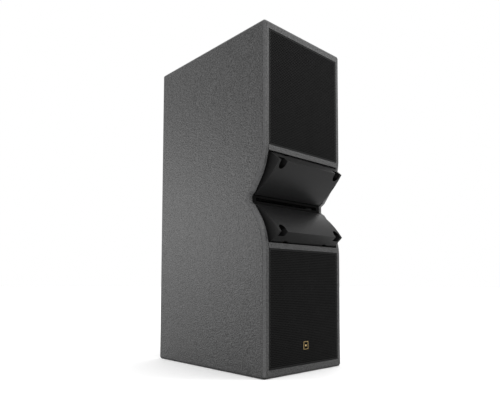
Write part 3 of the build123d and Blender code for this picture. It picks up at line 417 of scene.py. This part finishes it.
def circuit_board():
    """Green solder mask with copper tracks under it."""
    surface = Surface("circuit_board", coat=0.3)
    mask = surface.noise(size=0.002, detail=3.0)
    between = surface.cells(size=0.011, feature="DISTANCE_TO_EDGE")
    tracks = surface.remap(between, low=0.05, high=0.12, new_low=1.0, new_high=0.0)
    body = surface.mottled(mask, dark=(0.008, 0.07, 0.03), light=(0.012, 0.10, 0.04))
    surface.colour(surface.mixed(tracks, body, (0.05, 0.16, 0.05)))
    surface.roughness(mask, low=0.3, high=0.45)
    surface.relief(tracks, depth=0.0001)
    return surface.material


def cloth():
    """Resin-stiffened woven cloth."""
    surface = Surface("woven_cloth", specular=0.2, sheen=0.2)
    warp = surface.bands(size=0.0009, direction="X")
    weft = surface.bands(size=0.0009, direction="Z")
    weave = surface.math("MULTIPLY", warp, weft)
    tint = surface.noise(size=0.01, detail=3.0)
    threads = surface.remap(weave, low=0.1, high=0.7)
    body = surface.mixed(threads, (0.16, 0.08, 0.025), (0.34, 0.20, 0.07))
    surface.colour(surface.tinted(body, tint, (0.20, 0.10, 0.03), amount=0.3))
    surface.roughness(tint, low=0.7, high=0.9)
    surface.relief(weave, depth=0.0003)
    return surface.material


def plastics():
    """Moulded, rubber and fibre surfaces: dark and light colour, grain size and roughness range."""
    return {
        "throat_plastic": plain(
            "throat_plastic", grey(0.0015), grey(0.004), size=0.0015, rough=(0.75, 0.95), specular=0.05
        ),
        "horn_plastic": plain("horn_plastic", BLACK, SOOT, size=0.0015, rough=(0.4, 0.55)),
        "port_tube": plain("port_tube", BLACK, SOOT, size=0.002, rough=(0.5, 0.65)),
        "socket_plastic": plain(
            "socket_plastic", (0.012, 0.022, 0.06), (0.022, 0.04, 0.10), size=0.0012, rough=(0.35, 0.5)
        ),
        "cable_jacket": plain("cable_jacket", grey(0.01), grey(0.025), size=0.002, rough=(0.5, 0.7)),
        "capacitor_film": plain(
            "capacitor_film", (0.5, 0.42, 0.2), (0.68, 0.6, 0.34), size=0.004, rough=(0.2, 0.35), coat=0.4
        ),
        "soft_rubber": plain(
            "soft_rubber", grey(0.01), (0.022, 0.021, 0.02), size=0.003, rough=(0.7, 0.9), specular=0.3
        ),
        "cone_paper": plain(
            "cone_fibre", grey(0.012), (0.04, 0.039, 0.037), size=0.0012, rough=(0.75, 0.95), depth=0.0003
        ),
    }


def metals():
    """Plated, coated, cast and ferrite surfaces, some with wear along their edges."""
    return {
        "zinc_steel": plain(
            "zinc_plate", (0.36, 0.36, 0.34), (0.6, 0.59, 0.55), size=0.0012, rough=(0.25, 0.45),
            depth=0.00004, wear=(0.75, 0.74, 0.7), metal=1.0,
        ),
        "black_steel": plain(
            "black_powder_coat", grey(0.012), grey(0.03), size=0.0009, rough=(0.4, 0.6),
            depth=0.00008, wear=grey(0.2),
        ),
        "ferrite": plain(
            "ferrite", grey(0.03), (0.09, 0.088, 0.085), size=0.002, rough=(0.5, 0.75), wear=grey(0.2)
        ),
        "cast_aluminium": plain(
            "black_casting", grey(0.02), grey(0.045), size=0.0014, rough=(0.45, 0.65),
            depth=0.0002, wear=grey(0.3), metal=0.2,
        ),
        "titanium_foil": plain(
            "titanium_foil", (0.35, 0.34, 0.32), (0.55, 0.53, 0.5), size=0.004, rough=(0.25, 0.4),
            depth=0.00003, metal=1.0,
        ),
        "contact_brass": plain(
            "contact_plating", (0.55, 0.45, 0.22), (0.75, 0.66, 0.38), size=0.002, rough=(0.2, 0.35),
            depth=0.00002, metal=1.0,
        ),
    }


def paint_by_slot():
    """One material for each material slot of the record."""
    materials = {
        **plastics(),
        **metals(),
        "cabinet_paint": cabinet_paint(),
        "bare_plywood": plywood(),
        "grille_steel": grille_paint(),
        "acoustic_foam": foam(),
        "badge_metal": badge_gold(),
        "fin_plastic": fin_plastic(),
        "spider_cloth": cloth(),
        "circuit_board": circuit_board(),
        "copper_winding": winding(),
    }
    for subpart in frame["record"]["subparts"]:
        node = NODES[subpart["node"]]
        node.data.materials.clear()
        node.data.materials.append(materials[subpart["material_slot"]])
    return materials


# ---------------------------------------------------------------- pieces built here


def add_piece(name, build, material):
    """New piece from a function that fills a bmesh, riding on the cabinet."""
    mesh = bpy.data.meshes.new(name)
    work = bmesh.new()
    build(work)
    bmesh.ops.remove_doubles(work, verts=work.verts, dist=WELD)
    bmesh.ops.recalc_face_normals(work, faces=work.faces)
    work.to_mesh(mesh)
    work.free()
    piece = bpy.data.objects.new(name, mesh)
    bpy.context.scene.collection.objects.link(piece)
    mesh.materials.append(material)
    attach(piece, "cabinet")
    return piece


def ring(work, outline, y):
    """Vertices along an outline in X and Z, at one depth."""
    return [work.verts.new((x, y, z)) for x, z in outline]


def band(work, first, second):
    """Closed row of faces between two rings."""
    for i in range(len(first)):
        j = (i + 1) % len(first)
        work.faces.new((first[i], first[j], second[j], second[i]))


def rectangle(low, high, inset=0.0):
    """Four corners of a box's front in X and Z, moved in by an inset."""
    left, right = low.x + inset, high.x - inset
    bottom, top = low.z + inset, high.z - inset
    return ((left, bottom), (right, bottom), (right, top), (left, top))


def hole_rows(low, high):
    """Rows of hole centres inside plain edges, every other row half a pitch along."""
    width = high.x - low.x - 2 * PLAIN_EDGE
    height = high.z - low.z - 2 * PLAIN_EDGE
    across = int(width / HOLE_PITCH)
    up = int(height / ROW_PITCH)
    first_x = (low.x + high.x - (across - 1) * HOLE_PITCH) / 2
    first_z = (low.z + high.z - (up - 1) * ROW_PITCH) / 2
    rows = []
    for row in range(up):
        odd = row % 2
        start = first_x + odd * HOLE_PITCH / 2
        rows.append((first_z + row * ROW_PITCH, [start + i * HOLE_PITCH for i in range(across - odd)]))
    return rows


def cell_outline(x, z):
    """Eight points round a hole's cell: its corners and the middles of its sides."""
    half, tall = HOLE_PITCH / 2, ROW_PITCH / 2
    steps = ((1, 0), (1, 1), (0, 1), (-1, 1), (-1, 0), (-1, -1), (0, -1), (1, -1))
    return [(x + half * i, z + tall * k) for i, k in steps]


def hole_outline(x, z):
    """Eight points round a hole."""
    turn = 2 * pi / HOLE_SIDES
    return [(x + HOLE_RADIUS * cos(turn * i), z + HOLE_RADIUS * sin(turn * i)) for i in range(HOLE_SIDES)]


def perforated_sheet(work, low, high):
    """Front sheet with round holes through it, and its folded rim behind its edges."""
    front, back = low.y, low.y + SHEET

    def slab(left, right, bottom, top):
        corners = ((left, bottom), (right, bottom), (right, top), (left, top))
        for y in (front, back):
            work.faces.new(ring(work, corners, y))

    rows = hole_rows(low, high)
    half, tall = HOLE_PITCH / 2, ROW_PITCH / 2
    for z, centres in rows:
        for x in centres:
            rims = []
            for y in (front, back):
                rim = ring(work, hole_outline(x, z), y)
                band(work, ring(work, cell_outline(x, z), y), rim)
                rims.append(rim)
            band(work, *rims)
        slab(low.x, centres[0] - half, z - tall, z + tall)
        slab(centres[-1] + half, high.x, z - tall, z + tall)
    slab(low.x, high.x, low.z, rows[0][0] - tall)
    slab(low.x, high.x, rows[-1][0] + tall, high.z)
    outer, inner = rectangle(low, high), rectangle(low, high, SHEET)
    outer_back = ring(work, outer, high.y)
    inner_back = ring(work, inner, high.y)
    band(work, ring(work, outer, front), outer_back)
    band(work, outer_back, inner_back)
    band(work, inner_back, ring(work, inner, back))


def grilles(material):
    """Perforated steel grilles in place of the frame's plain ones."""
    for half in ("upper", "lower"):
        node = half + "_grille"
        low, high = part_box(node)

        def build(work):
            perforated_sheet(work, low, high)

        piece = add_piece(half + "_perforated_grille", build, material)
        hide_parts(node)


def picture_frame(work, low, high):
    """Rectangular moulding with a chamfered front."""
    profile = (
        (0.0, high.y),
        (0.0, low.y + BADGE_BEVEL),
        (BADGE_BEVEL, low.y),
        (BADGE_RIM - BADGE_BEVEL, low.y),
        (BADGE_RIM, low.y + BADGE_BEVEL),
        (BADGE_RIM, high.y),
    )
    rings = [ring(work, rectangle(low, high, inset), y) for inset, y in profile]
    for first, second in zip(rings, rings[1:] + rings[:1]):
        band(work, first, second)


def raised_lozenge(work, centre, front, back):
    """Plain diamond with a chamfered face."""
    profile = ((BADGE_MARK, back), (BADGE_MARK, front + BADGE_BEVEL), (BADGE_MARK - BADGE_BEVEL, front))
    rings = []
    for reach, y in profile:
        steps = ((reach, 0), (0, reach), (-reach, 0), (0, -reach))
        rings.append(ring(work, [(centre.x + x, centre.z + z) for x, z in steps], y))
    for first, second in zip(rings, rings[1:]):
        band(work, first, second)
    work.faces.new(rings[0])
    work.faces.new(rings[-1])


def badge(gold, black):
    """Plain gold frame and diamond round a black field, in place of the frame's plain plate."""
    low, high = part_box("badge")
    centre = (low + high) / 2

    def metalwork(work):
        picture_frame(work, low, high)
        raised_lozenge(work, centre, low.y + BADGE_BEVEL, centre.y)

    def field(work):
        inner_low = Vector((low.x + BADGE_RIM, centre.y, low.z + BADGE_RIM))
        inner_high = Vector((high.x - BADGE_RIM, high.y, high.z - BADGE_RIM))
        middle = (inner_low + inner_high) / 2
        bmesh.ops.create_cube(work, size=1.0)
        for vert in work.verts:
            vert.co = Vector(a * b for a, b in zip(vert.co, inner_high - inner_low)) + middle

    metal = add_piece("badge_metalwork", metalwork, gold)
    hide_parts("badge")
    add_piece("badge_field", field, black)


# ---------------------------------------------------------------- stage


def floor():
    """Large pale floor under the cabinet."""
    mesh = bpy.data.meshes.new("floor")
    corners = [(x * FLOOR_HALF, y * FLOOR_HALF, 0) for x, y in ((-1, -1), (1, -1), (1, 1), (-1, 1))]
    mesh.from_pydata(corners, [], [(0, 1, 2, 3)])
    plane = bpy.data.objects.new("floor", mesh)
    bpy.context.scene.collection.objects.link(plane)
    surface = Surface("floor_paper", specular=0.1)
    surface.colour((*grey(FLOOR_SHADE), 1.0))
    surface.shader.inputs["Roughness"].default_value = FLOOR_ROUGHNESS
    mesh.materials.append(surface.material)


def area_light(name, place, size, power):
    """Rectangular soft light aimed at the middle of the cabinet."""
    data = bpy.data.lights.new(name, "AREA")
    data.shape = "RECTANGLE"
    data.size, data.size_y = size
    data.energy = power
    light = bpy.data.objects.new(name, data)
    light.location = place
    aim = MIDDLE - Vector(place)
    light.rotation_euler = aim.to_track_quat("-Z", "Y").to_euler()
    bpy.context.scene.collection.objects.link(light)


def lighting():
    """White surroundings, a wide sun overhead, two soft lights behind the sides and one high at the front."""
    world = bpy.data.worlds.new("studio")
    world.use_nodes = True
    backdrop = world.node_tree.nodes["Background"]
    backdrop.inputs["Color"].default_value = (*grey(1.0), 1.0)
    backdrop.inputs["Strength"].default_value = WORLD_STRENGTH
    bpy.context.scene.world = world
    sun = bpy.data.lights.new("overhead", "SUN")
    sun.energy = SUN_STRENGTH
    sun.angle = radians(SUN_SPREAD)
    lamp = bpy.data.objects.new("overhead", sun)
    lamp.rotation_euler = (radians(SUN_TILT), 0, 0)
    bpy.context.scene.collection.objects.link(lamp)
    area_light("left_rear", LEFT_PLACE, LEFT_SIZE, LEFT_POWER)
    area_light("right_rear", RIGHT_PLACE, RIGHT_SIZE, RIGHT_POWER)
    area_light("right_front", FRONT_PLACE, FRONT_SIZE, FRONT_POWER)


def camera():
    """Camera at the viewing angle of the product picture."""
    data = bpy.data.cameras.new("camera")
    data.lens = LENS
    data.sensor_width = SENSOR
    data.shift_x, data.shift_y = SHIFT
    view = bpy.data.objects.new("camera", data)
    view.location = CAMERA_PLACE
    view.rotation_euler = (radians(90 + CAMERA_PITCH), radians(CAMERA_ROLL), radians(-CAMERA_HEADING))
    bpy.context.scene.collection.objects.link(view)
    bpy.context.scene.camera = view


camera()
lighting()
floor()
slots = paint_by_slot()
grilles(slots["grille_steel"])
badge(slots["badge_metal"], slots["throat_plastic"])
bpy.context.scene.view_settings.view_transform = "Standard"
